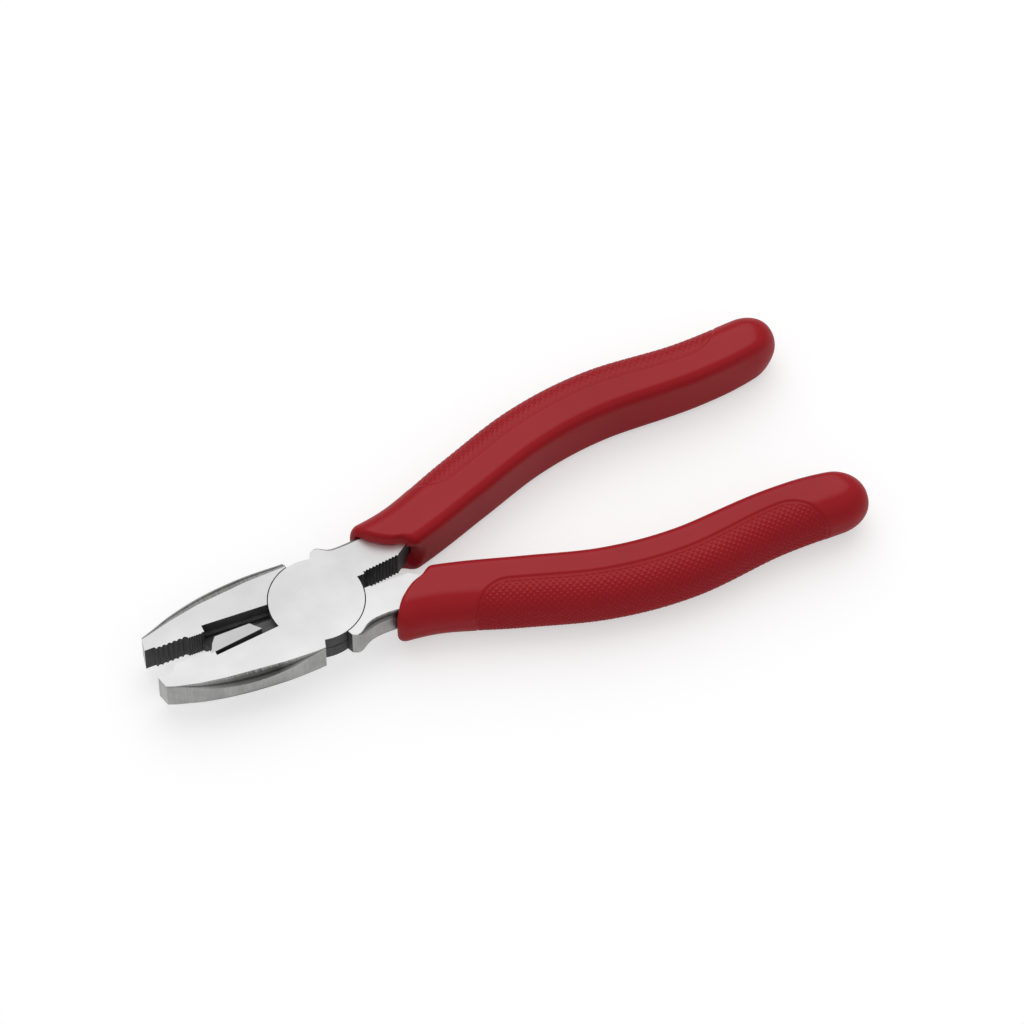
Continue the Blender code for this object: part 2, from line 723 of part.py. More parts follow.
def grip_section(width):
    """Section across the grip: (out, up) pairs, out being away from the other handle."""
    side = width / 2
    top = GRIP_THICKNESS / 2
    inner = GRIP_INNER_RADIUS
    outer = min(GRIP_OUTER_RADIUS, width - inner, top)
    return (corner(side - outer, top - outer, outer, 0, 90, GRIP_OUTER_ARC_STEPS)
            + corner(-side + inner, top - inner, inner, 90, 180, GRIP_INNER_ARC_STEPS)
            + corner(-side + inner, -top + inner, inner, 180, 270, GRIP_INNER_ARC_STEPS)
            + corner(side - outer, -top + outer, outer, 270, 360, GRIP_OUTER_ARC_STEPS))


def grip_stations():
    """(x, scale) pairs along the grip, drawn in to a round end over its last stretch."""
    body_end = HANDLE_LENGTH - GRIP_END_LENGTH
    span = body_end - HANDLE_NECK_X
    stations = [(HANDLE_NECK_X + span * i / GRIP_STEPS, 1.0) for i in range(GRIP_STEPS)]
    for i in range(GRIP_END_STEPS + 1):
        turn = math.radians(GRIP_END_SWEEP_DEGREES * i / GRIP_END_STEPS)
        stations.append((body_end + GRIP_END_LENGTH * math.sin(turn), math.cos(turn) ** GRIP_END_FULLNESS))
    return stations


def grip_rings():
    line = handle_line()
    rings = []
    for x, scale in grip_stations():
        ahead = height_at(line, x + GRIP_TANGENT_STEP)
        behind = height_at(line, x - GRIP_TANGENT_STEP)
        across = Vector((behind - ahead, 2 * GRIP_TANGENT_STEP)).normalized()
        centre = Vector((x, height_at(line, x)))
        ring = []
        for out, up in grip_section(grip_width(x)):
            spot = centre + across * out * scale
            ring.append((spot.x, spot.y, MID + up * scale))
        rings.append(ring)
    return rings


def mouth_outline():
    """Plan of what is cut away ahead of the grip's rounded mouth."""
    tongue = smooth([
        (MOUTH_BACK_X, MOUTH_BACK_RISE),
        (MOUTH_CORNER_X, MOUTH_CORNER_RISE),
        (MOUTH_OUTER_X, MOUTH_OUTER_RISE),
        (MOUTH_TONGUE_X, MOUTH_TONGUE_RISE),
        (MOUTH_MIDDLE_X, MOUTH_MIDDLE_RISE),
        (MOUTH_LIP_X, MOUTH_LIP_RISE),
        (MOUTH_INNER_X, MOUTH_INNER_RISE),
        (MOUTH_FOOT_X, MOUTH_FOOT_RISE),
    ], MOUTH_STEPS)
    left = HANDLE_NECK_X - MOUTH_CUT_ROOM
    above = MOUTH_BACK_RISE + MOUTH_CUT_ROOM
    below = MOUTH_FOOT_RISE - MOUTH_CUT_ROOM
    return [(left, above), (MOUTH_BACK_X, above), *tongue, (MOUTH_FOOT_X, below), (left, below)]


def bore_outline(sizes):
    """Plan of the grip's bore: the handle's own edges moved out by the clearance."""
    outer = [point for point in neck_outer(sizes) if point[0] > NECK_TOOTH_START_X] + core_line(1)
    inner = core_line(-1)[::-1] + handle_inner(sizes)
    run = outer + core_end() + inner
    grown = offset_line(run, GRIP_CLEARANCE)
    left = HANDLE_NECK_X
    return [(left, grown[0][1]), *grown, (left, grown[-1][1])]


def grip(name, sizes, flipped, parts, cutters):
    body = loft(name, grip_rings(), parts)
    low = MID - GRIP_THICKNESS / 2 - OVERRUN
    high = MID + GRIP_THICKNESS / 2 + OVERRUN
    tools = [
        plate(name + "_mouth", mouth_outline(), low, high, cutters),
        plate(name + "_bore", bore_outline(sizes), -GRIP_CLEARANCE, HEAD_THICKNESS + GRIP_CLEARANCE,
              cutters),
    ]
    if flipped:
        turned_over(body)
        for tool in tools:
            turned_over(tool)
    for tool in tools:
        cut(body, tool)
    return body


def shade(thing):
    thing.data.shade_smooth()
    thing.data.set_sharp_from_angle(angle=math.radians(SMOOTH_DEGREES))


def build():
    parts, cutters = start_scene()
    front_half = forged_half("front_half", FRONT_SIZES, False, parts, cutters)
    rear_half = forged_half("rear_half", REAR_SIZES, True, parts, cutters)
    rivet = turned("pivot_rivet", rivet_profile(0.0, 0.0), parts)
    upper_grip = grip("upper_grip", FRONT_SIZES, False, parts, cutters)
    lower_grip = grip("lower_grip", REAR_SIZES, True, parts, cutters)
    finishes = (
        (front_half, material("polished_steel", POLISHED_STEEL)),
        (rear_half, material("satin_steel", SATIN_STEEL)),
        (rivet, material("rivet_steel", RIVET_STEEL)),
        (upper_grip, material("red_vinyl", FRONT_VINYL)),
        (lower_grip, material("red_vinyl_rear", REAR_VINYL)),
    )
    for thing, finish in finishes:
        thing.data.materials.clear()
        thing.data.materials.append(finish)
        shade(thing)


build()
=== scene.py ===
# %% [markdown]
# # Combination pliers with red vinyl grips
#
# Two steel forgings cross at a rivet, and each carries a moulded vinyl sleeve. The flat
# faces of the head are ground and polished, the inside of the jaws and the joint keep the
# black scale of the heat treatment, and the sleeves have a knurled panel for the palm.
#
# The imported model is the fixed frame: it gives every piece its place. It is loaded first,
# and the boxes of its parts give the heights of the head, the grips and the floor.

# %% Load the imported model
import math

import bmesh
import bpy
import numpy as np
from mathutils import Euler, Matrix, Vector


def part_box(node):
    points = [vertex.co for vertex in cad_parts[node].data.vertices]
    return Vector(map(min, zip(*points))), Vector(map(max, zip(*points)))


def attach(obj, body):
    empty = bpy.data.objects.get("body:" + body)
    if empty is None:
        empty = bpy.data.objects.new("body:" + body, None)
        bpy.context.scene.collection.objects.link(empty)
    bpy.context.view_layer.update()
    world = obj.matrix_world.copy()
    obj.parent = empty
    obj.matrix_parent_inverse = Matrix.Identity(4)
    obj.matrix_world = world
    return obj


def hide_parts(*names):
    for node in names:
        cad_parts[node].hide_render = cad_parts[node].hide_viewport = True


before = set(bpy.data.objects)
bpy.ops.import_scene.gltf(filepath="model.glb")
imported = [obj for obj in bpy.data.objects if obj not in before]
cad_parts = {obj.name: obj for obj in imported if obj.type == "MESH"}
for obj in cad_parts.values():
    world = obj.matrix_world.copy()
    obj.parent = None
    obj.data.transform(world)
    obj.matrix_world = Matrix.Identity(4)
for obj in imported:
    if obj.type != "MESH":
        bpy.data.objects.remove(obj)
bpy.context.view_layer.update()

MM = 0.001

# %% [markdown]
# ## Small helpers
#
# Colours are written as the sRGB hex values that a picture shows, and Blender's sockets
# want linear light, so one function turns them. A second one adds a shader node: its
# options and input values come in one dictionary, and the outputs that feed it in another.
# The finishes of this tool all end alike, with a colour and with one fine grain that drives
# both the roughness and the relief, so one function joins those to the shader.

# %% Colour, node and object helpers
def linear(hex_colour):
    """An sRGB hex colour such as #A71D25 as linear red, green, blue and alpha."""
    shares = [int(hex_colour[i:i + 2], 16) / 255 for i in (1, 3, 5)]
    return (*[c / 12.92 if c <= 0.04045 else ((c + 0.055) / 1.055) ** 2.4 for c in shares], 1.0)


def add(tree, kind, settings=None, links=None):
    """Adds one node with its options, its input values and the outputs that feed it."""
    made = tree.nodes.new(kind)
    for name, value in (settings or {}).items():
        if isinstance(name, str) and hasattr(made, name):
            setattr(made, name, value)
        else:
            made.inputs[name].default_value = value
    for name, output in (links or {}).items():
        tree.links.new(output, made.inputs[name])
    return made


def ramp(tree, stops, output):
    """Turns a value into a share between 0 and 1 by (place, share) stops, the two ends first."""
    made = add(tree, "ShaderNodeValToRGB", None, {"Fac": output})
    marks = made.color_ramp.elements
    for mark, (place, share) in zip(list(marks), stops):
        mark.position, mark.color = place, (share, share, share, 1.0)
    for place, share in stops[len(marks):]:
        marks.new(place).color = (share, share, share, 1.0)
    return made.outputs["Color"]


def new_material(name):
    """A material with an empty node tree but for its shader and output."""
    made = bpy.data.materials.new(name)
    made.use_nodes = True
    return made, made.node_tree, made.node_tree.nodes["Principled BSDF"]


def dress(tree, shader, tint, grain, roughness, relief):
    """Gives a shader its colour, and by one grain its (low, high) roughness and its
    (strength, depth) relief."""
    low, high = roughness
    strength, depth = relief
    dull = add(tree, "ShaderNodeMapRange", {"To Min": low, "To Max": high}, {"Value": grain})
    bump = add(tree, "ShaderNodeBump", {"Strength": strength, "Distance": depth}, {"Height": grain})
    tree.links.new(tint, shader.inputs["Base Color"])
    tree.links.new(dull.outputs["Result"], shader.inputs["Roughness"])
    tree.links.new(bump.outputs["Normal"], shader.inputs["Normal"])


def placed(name, data):
    """A new object with this data, linked into the scene."""
    made = bpy.data.objects.new(name, data)
    bpy.context.scene.collection.objects.link(made)
    return made


# The Mix node has a set of sockets for each kind of data. These are the places of its factor
# and of the colour ones.
MIX_FACTOR, MIX_A, MIX_B, MIX_RESULT = 0, 6, 7, 2
print("a vinyl red in linear light", [round(c, 4) for c in linear("#A71D25")])

# %% [markdown]
# ## Camera
#
# The photograph was taken with a long lens from above and in front of the jaws, which is
# why the sides of the head look almost parallel. A camera could be placed by its own x, y
# and z, but it is easier to match when it turns about a point between the handles: a turn
# about the vertical, a tilt down, and a distance.

# %% Camera, with distances in metres, and lens and sensor in millimetres
LOOK_AT = Vector((59.3, 3.4, 9.0)) * MM
CAMERA_TURN_DEGREES = -24.85
CAMERA_ELEVATION_DEGREES = 56.6
CAMERA_DISTANCE = 1.622
CAMERA_LENS = 210.94
CAMERA_SENSOR = 36.0
CAMERA_CLIP_START = 0.01


def aim(piece, turn_degrees, elevation_degrees, distance):
    """Stands a camera or lamp off from the point that it looks at."""
    piece.rotation_euler = Euler((math.radians(90 - elevation_degrees), 0.0, math.radians(turn_degrees)))
    piece.location = LOOK_AT + piece.rotation_euler.to_matrix() @ Vector((0, 0, distance))


camera_data = bpy.data.cameras.new("camera")
camera_data.lens = CAMERA_LENS
camera_data.sensor_width = CAMERA_SENSOR
camera_data.clip_start = CAMERA_CLIP_START
camera = placed("camera", camera_data)
aim(camera, CAMERA_TURN_DEGREES, CAMERA_ELEVATION_DEGREES, CAMERA_DISTANCE)
bpy.context.scene.camera = camera
print("camera at", [round(v, 4) for v in camera.location])

# %% [markdown]
# ## Polished steel
#
# The flat faces of the head are carbon steel, ground on a belt and then polished until the
# belt's lines almost close up. The eye reads a pale, soft mirror. A metal keeps the default
# IOR, is fully metallic, and its roughness is about 0.4. Faint lines of the last belt run
# along the jaws; a real line is under 0.05 mm wide, so they are drawn 0.25 mm wide to show.
# An anisotropic shader could stretch the highlight too, but a stretched noise also gives the
# lines themselves, and it needs no unwrapped mesh. The faces have soft clouds of tone, and
# they are painted a little brighter towards the lower jaw than the upper one: a painted
# light. The slanted facet beside the cutter's edge is coloured a shade darker.

# %% Polished steel
POLISH_LINE_WIDTH = 0.25 * MM
POLISH_LINE_LENGTH = 12.0 * MM
POLISH_LINE_DETAIL = 2.0
POLISH_CLOUD_SIZE = 16.0 * MM
POLISH_CLOUD_DETAIL = 3.0
# Painted light: the faces are painted brighter towards the lower jaw, by Y.
PAINTED_LIGHT_DIM_Y, PAINTED_LIGHT_BRIGHT_Y = 16.0 * MM, -16.0 * MM
PAINTED_LIGHT_SLOPE = 0.5
POLISH_ROUGHNESS = (0.36, 0.46)
POLISH_RELIEF = (0.04, 0.02 * MM)


def polished_steel(name, dark, pale):
    made, tree, shader = new_material(name)
    place = add(tree, "ShaderNodeTexCoord")
    cloud = add(tree, "ShaderNodeTexNoise",
                {"Scale": 1 / POLISH_CLOUD_SIZE, "Detail": POLISH_CLOUD_DETAIL},
                {"Vector": place.outputs["Object"]})
    spot = add(tree, "ShaderNodeSeparateXYZ", None, {"Vector": place.outputs["Object"]})
    # Painted light: brighter towards the lower jaw.
    slope = add(tree, "ShaderNodeMapRange",
                {"From Min": PAINTED_LIGHT_DIM_Y, "From Max": PAINTED_LIGHT_BRIGHT_Y,
                 "To Min": -PAINTED_LIGHT_SLOPE / 2, "To Max": PAINTED_LIGHT_SLOPE / 2}, {"Value": spot.outputs["Y"]})
    share = add(tree, "ShaderNodeMath", {"operation": "ADD"},
                {0: cloud.outputs["Fac"], 1: slope.outputs["Result"]})
    tint = add(tree, "ShaderNodeMix", {"data_type": "RGBA", MIX_A: linear(dark), MIX_B: linear(pale)},
               {MIX_FACTOR: share.outputs["Value"]})
    stretched = add(tree, "ShaderNodeMapping",
                    {"Scale": (1 / POLISH_LINE_LENGTH, 1 / POLISH_LINE_WIDTH, 1 / POLISH_LINE_WIDTH)},
                    {"Vector": place.outputs["Object"]})
    lines = add(tree, "ShaderNodeTexNoise", {"Scale": 1.0, "Detail": POLISH_LINE_DETAIL},
                {"Vector": stretched.outputs["Vector"]})
    shader.inputs["Metallic"].default_value = 1.0
    dress(tree, shader, tint.outputs[MIX_RESULT], lines.outputs["Fac"], POLISH_ROUGHNESS, POLISH_RELIEF)
    return made


POLISHED = polished_steel("polished_steel", "#D2D2D2", "#F8F8F8")
DARKER_FACET = polished_steel("darker_facet_steel", "#C4C4C4", "#DCDCDC")
print("made", POLISHED.name, "and", DARKER_FACET.name)

# %% [markdown]
# ## Ground steel
#
# The outer edges of the jaws and of the necks are ground freehand on a coarser belt, across
# the edge. They look darker than the faces, with short lines that run over the edge. The
# lines lie in planes square to the jaw's length, so the noise is fine along X and long in
# the other two directions. A real 120-grit line is 0.1 mm wide, drawn here 0.3 mm wide.
#
# On the rounded bevel between face and wall, a dark band is painted in streaks: a painted
# dark reflection, for the dark room that the steep part of the bevel mirrors. How far the
# surface leans tells where it goes: the upward part of its normal is near 1 at the face, near
# 0 on the wall, and between the two on the bevel. The painted reflection is darkest in the
# middle of a jaw and on the necks, and it almost fades out towards the nose and the joint. It
# is painted lighter on the upper edges than on the lower ones. A mask could be painted by hand
# instead, but the lean of the surface finds the bevel without an unwrapped mesh.

# %% Ground steel
GRIND_LINE_WIDTH = 0.3 * MM
GRIND_LINE_LENGTH = 9.0 * MM
GRIND_LINE_DETAIL = 3.0
GRIND_LINE_COARSENESS = 0.6
GRIND_PATCH_SIZE = 5.0 * MM
GRIND_PATCH_DETAIL = 2.0
GRIND_DARK_AT, GRIND_PALE_AT = 0.12, 0.38
GRIND_DARK, GRIND_PALE = "#929291", "#ACACAB"
GRIND_ROUGHNESS = (0.24, 0.42)
GRIND_RELIEF = (0.18, 0.05 * MM)
# These paint a dark reflection on the rounded bevel: its colour, its ramp by lean, its stations along the
# jaw and its lighter share on the upper edges.
PAINTED_BEVEL_REFLECTION_COLOUR = "#3A3938"
PAINTED_REFLECTION_RAGGEDNESS = 0.34
PAINTED_REFLECTION_STOPS = [(0.06, 0.0), (1.0, 0.4), (0.2, 0.9), (0.92, 0.95), (0.98, 0.65)]
PAINTED_REFLECTION_ALONG = [(-48.0, 0.1), (24.0, 0.9), (-38.0, 0.35), (-30.0, 0.8), (-18.0, 1.0), (-9.0, 0.3),
              (4.0, 0.1), (10.0, 0.7)]
UPPER_PAINTED_REFLECTION_SHARE = 0.5
PAINTED_REFLECTION_CHANGE_Y = 4.0 * MM


def along_jaw(tree, spot, stations):
    """A share that changes along X by (millimetres, share) stations, the two ends first."""
    first, last = stations[0][0], stations[1][0]
    run = add(tree, "ShaderNodeMapRange", {"From Min": first * MM, "From Max": last * MM},
              {"Value": spot.outputs["X"]})
    return ramp(tree, [((x - first) / (last - first), share) for x, share in stations],
                run.outputs["Result"])


def ground_steel():
    made, tree, shader = new_material("ground_steel")
    place = add(tree, "ShaderNodeTexCoord")
    stretched = add(tree, "ShaderNodeMapping",
                    {"Scale": (1 / GRIND_LINE_WIDTH, 1 / GRIND_LINE_LENGTH, 1 / GRIND_LINE_LENGTH)},
                    {"Vector": place.outputs["Object"]})
    lines = add(tree, "ShaderNodeTexNoise",
                {"Scale": 1.0, "Detail": GRIND_LINE_DETAIL, "Roughness": GRIND_LINE_COARSENESS},
                {"Vector": stretched.outputs["Vector"]})
    patches = add(tree, "ShaderNodeTexNoise",
                  {"Scale": 1 / GRIND_PATCH_SIZE, "Detail": GRIND_PATCH_DETAIL},
                  {"Vector": place.outputs["Object"]})
    both = add(tree, "ShaderNodeMath", {"operation": "MULTIPLY"},
               {0: lines.outputs["Fac"], 1: patches.outputs["Fac"]})
    share = add(tree, "ShaderNodeMapRange", {"From Min": GRIND_DARK_AT, "From Max": GRIND_PALE_AT},
                {"Value": both.outputs["Value"]})
    bright = add(tree, "ShaderNodeMix",
                 {"data_type": "RGBA", MIX_A: linear(GRIND_DARK), MIX_B: linear(GRIND_PALE)},
                 {MIX_FACTOR: share.outputs["Result"]})
    surface = add(tree, "ShaderNodeNewGeometry")
    lean = add(tree, "ShaderNodeSeparateXYZ", None, {"Vector": surface.outputs["Normal"]})
    upward = add(tree, "ShaderNodeMath", {"operation": "ABSOLUTE"}, {0: lean.outputs["Z"]})
    swing = add(tree, "ShaderNodeMapRange",
                {"To Min": -PAINTED_REFLECTION_RAGGEDNESS / 2, "To Max": PAINTED_REFLECTION_RAGGEDNESS / 2},
                {"Value": lines.outputs["Fac"]})
    ragged = add(tree, "ShaderNodeMath", {"operation": "ADD"},
                 {0: swing.outputs["Result"], 1: upward.outputs["Value"]})
    # A painted dark reflection: set by the lean, along the jaw, and lighter on the upper edges.
    reflection_by_lean = ramp(tree, PAINTED_REFLECTION_STOPS, ragged.outputs["Value"])
    spot = add(tree, "ShaderNodeSeparateXYZ", None, {"Vector": place.outputs["Object"]})
    reflection_along = along_jaw(tree, spot, PAINTED_REFLECTION_ALONG)
    side = add(tree, "ShaderNodeMapRange", {"From Min": -PAINTED_REFLECTION_CHANGE_Y, "From Max": PAINTED_REFLECTION_CHANGE_Y,
                                            "To Min": 1.0, "To Max": UPPER_PAINTED_REFLECTION_SHARE},
               {"Value": spot.outputs["Y"]})
    left = add(tree, "ShaderNodeMath", {"operation": "MULTIPLY"}, {0: reflection_by_lean, 1: side.outputs["Result"]})
    painted_reflection = add(tree, "ShaderNodeMath", {"operation": "MULTIPLY"}, {0: left.outputs["Value"], 1: reflection_along})
    tint = add(tree, "ShaderNodeMix", {"data_type": "RGBA", MIX_B: linear(PAINTED_BEVEL_REFLECTION_COLOUR)},
               {MIX_FACTOR: painted_reflection.outputs["Value"], MIX_A: bright.outputs[MIX_RESULT]})
    shader.inputs["Metallic"].default_value = 1.0
    dress(tree, shader, tint.outputs[MIX_RESULT], lines.outputs["Fac"], GRIND_ROUGHNESS, GRIND_RELIEF)
    return made


GROUND = ground_steel()
print("made", GROUND.name)

# %% [markdown]
# ## Black oxide
#
# Where no belt reaches, the forging keeps the black oxide of its heat treatment: the jaw
# teeth, the slot beside the blade, the joint and the inside of the necks. It is a thin,
# dull, slightly grainy skin, so it is mostly not metallic and rather rough. Forging grain is
# about 0.4 mm across. Handling has worn it paler round the cutter, less so on the teeth, and
# hardly at all between the necks. In the recess beside the cutter the oxide is painted paler
# still: painted light, for light reaching into that recess. Pointiness could find worn edges,
# but it depends on how fine the mesh is. Here the wear and the painted light change with the
# place alone, so stations along the jaw are enough.

# %% Black oxide
OXIDE_GRAIN = 0.4 * MM
OXIDE_GRAIN_DETAIL = 4.0
OXIDE_PATCH_SIZE = 3.0 * MM
OXIDE_PATCH_DETAIL = 3.0
OXIDE_METALLIC = 0.2
OXIDE_ROUGHNESS = (0.48, 0.68)
OXIDE_RELIEF = (0.3, 0.05 * MM)
# The worn colours are paler for real wear, and the paler tones in the recess beside the cutter are painted
# light.
DEEP_OXIDE, DEEP_OXIDE_WORN_AND_LIT = "#0F0F0F", "#3A3939"
THIN_OXIDE, THIN_OXIDE_WORN_AND_LIT = "#1B1B1B", "#6A6969"
WEAR_AND_LIGHT_ALONG = [(-48.0, 0.35), (13.0, 0.0), (-30.0, 0.55), (-22.0, 1.0), (-9.0, 1.0), (0.0, 0.55)]


def black_oxide():
    made, tree, shader = new_material("black_oxide_steel")
    place = add(tree, "ShaderNodeTexCoord")
    grain = add(tree, "ShaderNodeTexNoise", {"Scale": 1 / OXIDE_GRAIN, "Detail": OXIDE_GRAIN_DETAIL},
                {"Vector": place.outputs["Object"]})
    patches = add(tree, "ShaderNodeTexNoise",
                  {"Scale": 1 / OXIDE_PATCH_SIZE, "Detail": OXIDE_PATCH_DETAIL},
                  {"Vector": place.outputs["Object"]})
    spot = add(tree, "ShaderNodeSeparateXYZ", None, {"Vector": place.outputs["Object"]})
    # Real wear, and painted light in the recess beside the cutter.
    worn_and_lit = along_jaw(tree, spot, WEAR_AND_LIGHT_ALONG)
    deep = add(tree, "ShaderNodeMix",
               {"data_type": "RGBA", MIX_A: linear(DEEP_OXIDE), MIX_B: linear(DEEP_OXIDE_WORN_AND_LIT)},
               {MIX_FACTOR: worn_and_lit})
    thin = add(tree, "ShaderNodeMix",
               {"data_type": "RGBA", MIX_A: linear(THIN_OXIDE), MIX_B: linear(THIN_OXIDE_WORN_AND_LIT)},
               {MIX_FACTOR: worn_and_lit})
    tint = add(tree, "ShaderNodeMix", {"data_type": "RGBA"},
               {MIX_FACTOR: patches.outputs["Fac"], MIX_A: deep.outputs[MIX_RESULT],
                MIX_B: thin.outputs[MIX_RESULT]})
    shader.inputs["Metallic"].default_value = OXIDE_METALLIC
    dress(tree, shader, tint.outputs[MIX_RESULT], grain.outputs["Fac"], OXIDE_ROUGHNESS, OXIDE_RELIEF)
    return made


OXIDE = black_oxide()
print("made", OXIDE.name)

# %% [markdown]
# ## Red vinyl
#
# The sleeves are plasticised PVC, injection moulded. It is a saturated red plastic with an
# IOR of about 1.53 and a satin skin: the mould was blasted, so the surface has a grain of
# about 0.3 mm that breaks up the highlights, and slow drifts in depth of colour. The skin is
# a little dusty, which takes most of the mirror off it, so its specular level is low. The two
# flat faces are painted paler than the sides, the edges and the knurl: a painted sheen, for
# the soft light that flat faces mirror. They could be a second material with a hard
# border, but a mix by the surface's own normal fades out over the rounded edges.

# %% Red vinyl
VINYL_IOR = 1.53
VINYL_SPECULAR_LEVEL = 0.12
VINYL_GRAIN = 0.3 * MM
VINYL_DRIFT_SIZE = 22.0 * MM
VINYL_DETAIL = 3.0
VINYL_ROUGHNESS = (0.4, 0.54)
VINYL_RELIEF = (0.12, 0.05 * MM)
DEEP_RED, CLEAR_RED = "#991820", "#A71D25"
# The paler reds of the flat faces are a painted sheen, mixed in by the normal.
PAINTED_SHEEN_DEEP_RED, PAINTED_SHEEN_CLEAR_RED = "#9E2F34", "#AC373C"
PAINTED_SHEEN_FROM, PAINTED_SHEEN_FULL = 0.93, 0.995


def red_vinyl():
    made, tree, shader = new_material("moulded_red_vinyl")
    place = add(tree, "ShaderNodeTexCoord")
    drift = add(tree, "ShaderNodeTexNoise", {"Scale": 1 / VINYL_DRIFT_SIZE, "Detail": VINYL_DETAIL},
                {"Vector": place.outputs["Object"]})
    grain = add(tree, "ShaderNodeTexNoise", {"Scale": 1 / VINYL_GRAIN, "Detail": VINYL_DETAIL},
                {"Vector": place.outputs["Object"]})
    red = add(tree, "ShaderNodeMix",
              {"data_type": "RGBA", MIX_A: linear(DEEP_RED), MIX_B: linear(CLEAR_RED)},
              {MIX_FACTOR: drift.outputs["Fac"]})
    # A painted sheen: the flat faces get the paler red.
    sheen_red = add(tree, "ShaderNodeMix",
                {"data_type": "RGBA", MIX_A: linear(PAINTED_SHEEN_DEEP_RED), MIX_B: linear(PAINTED_SHEEN_CLEAR_RED)},
                {MIX_FACTOR: drift.outputs["Fac"]})
    lean = add(tree, "ShaderNodeSeparateXYZ", None, {"Vector": place.outputs["Normal"]})
    upward = add(tree, "ShaderNodeMath", {"operation": "ABSOLUTE"}, {0: lean.outputs["Z"]})
    painted_sheen_share = add(tree, "ShaderNodeMapRange", {"interpolation_type": "SMOOTHSTEP",
                                             "From Min": PAINTED_SHEEN_FROM, "From Max": PAINTED_SHEEN_FULL},
                {"Value": upward.outputs["Value"]})
    tint = add(tree, "ShaderNodeMix", {"data_type": "RGBA"},
               {MIX_FACTOR: painted_sheen_share.outputs["Result"], MIX_A: red.outputs[MIX_RESULT],
                MIX_B: sheen_red.outputs[MIX_RESULT]})
    shader.inputs["IOR"].default_value = VINYL_IOR
    shader.inputs["Specular IOR Level"].default_value = VINYL_SPECULAR_LEVEL
    dress(tree, shader, tint.outputs[MIX_RESULT], grain.outputs["Fac"], VINYL_ROUGHNESS, VINYL_RELIEF)
    return made


VINYL = red_vinyl()
print("made", VINYL.name)

# %% [markdown]
# ## The two forgings
#
# The halves could be modelled again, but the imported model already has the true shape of
# each, teeth and cutter included. So its mesh is copied and finished like the real forging:
# the triangles of each flat face become one face, the sharp edges are broken by a tenth of a
# millimetre, and each face gets the finish that its place gives it. The rear half is the
# front half turned over, so its faces are judged after turning them back.

# %% Where each finish lies, with places in millimetres and directions as parts of a normal
FINISHES = (POLISHED, GROUND, OXIDE, DARKER_FACET)
IS_POLISHED, IS_GROUND, IS_BLACK, IS_DARKER_FACET = range(len(FINISHES))
HEAD_LOW, HEAD_HIGH = (corner.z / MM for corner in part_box("front_half"))
LEVEL = 0.999
FACE_LEVEL_BAND = 0.01
FLAT = 0.93
FACET_BAND = 0.5
WALL_FACING = 0.05
JAW_WALL_Y = -7.6
JAW_WALL_END_X = -3.0
NOSE_X = -46.6
NECK_WALL_Y = 11.0
NECK_WALL_START_X = 4.4


def turned_back(point, flipped):
    """A point or direction of the rear half as it would lie on the front half."""
    return Vector((point.x, -point.y, -point.z)) if flipped else point.copy()


def finish_of(face, flipped):
    """The slot of the finish that a face has, from its place and its normal."""
    middle = (HEAD_LOW + HEAD_HIGH) / 2
    centre = face.calc_center_median() / MM - Vector((0, 0, middle))
    centre = turned_back(centre, flipped)
    normal = turned_back(face.normal, flipped)
    depth = (HEAD_HIGH - HEAD_LOW) / 2 - abs(centre.z)
    if abs(normal.z) > LEVEL and depth < FACE_LEVEL_BAND:
        return IS_POLISHED
    if centre.y < JAW_WALL_Y and centre.x < JAW_WALL_END_X and normal.y < -WALL_FACING:
        return IS_GROUND
    if centre.x < NOSE_X and normal.x < -WALL_FACING:
        return IS_GROUND
    if centre.y > NECK_WALL_Y and centre.x > NECK_WALL_START_X and normal.y > WALL_FACING:
        return IS_GROUND
    return IS_DARKER_FACET if abs(normal.z) > FLAT and depth < FACET_BAND else IS_BLACK


print("head from", round(HEAD_LOW, 2), "to", round(HEAD_HIGH, 2), "mm")

# %% Finish a forging
WELD = 0.001 * MM
COPLANAR_DEGREES = 0.4
BROKEN_EDGE_WIDTH = 0.1 * MM
BROKEN_EDGE_DEGREES = 30.0
BROKEN_EDGE_SEGMENTS = 2
SMOOTH_DEGREES = 20.0
RIVET_ZONE_RADIUS = 6.2 * MM


def near_rivet(edge):
    """Whether an edge belongs to the rivet's bore, where no edge is broken."""
    return all(math.hypot(v.co.x, v.co.y) < RIVET_ZONE_RADIUS for v in edge.verts)


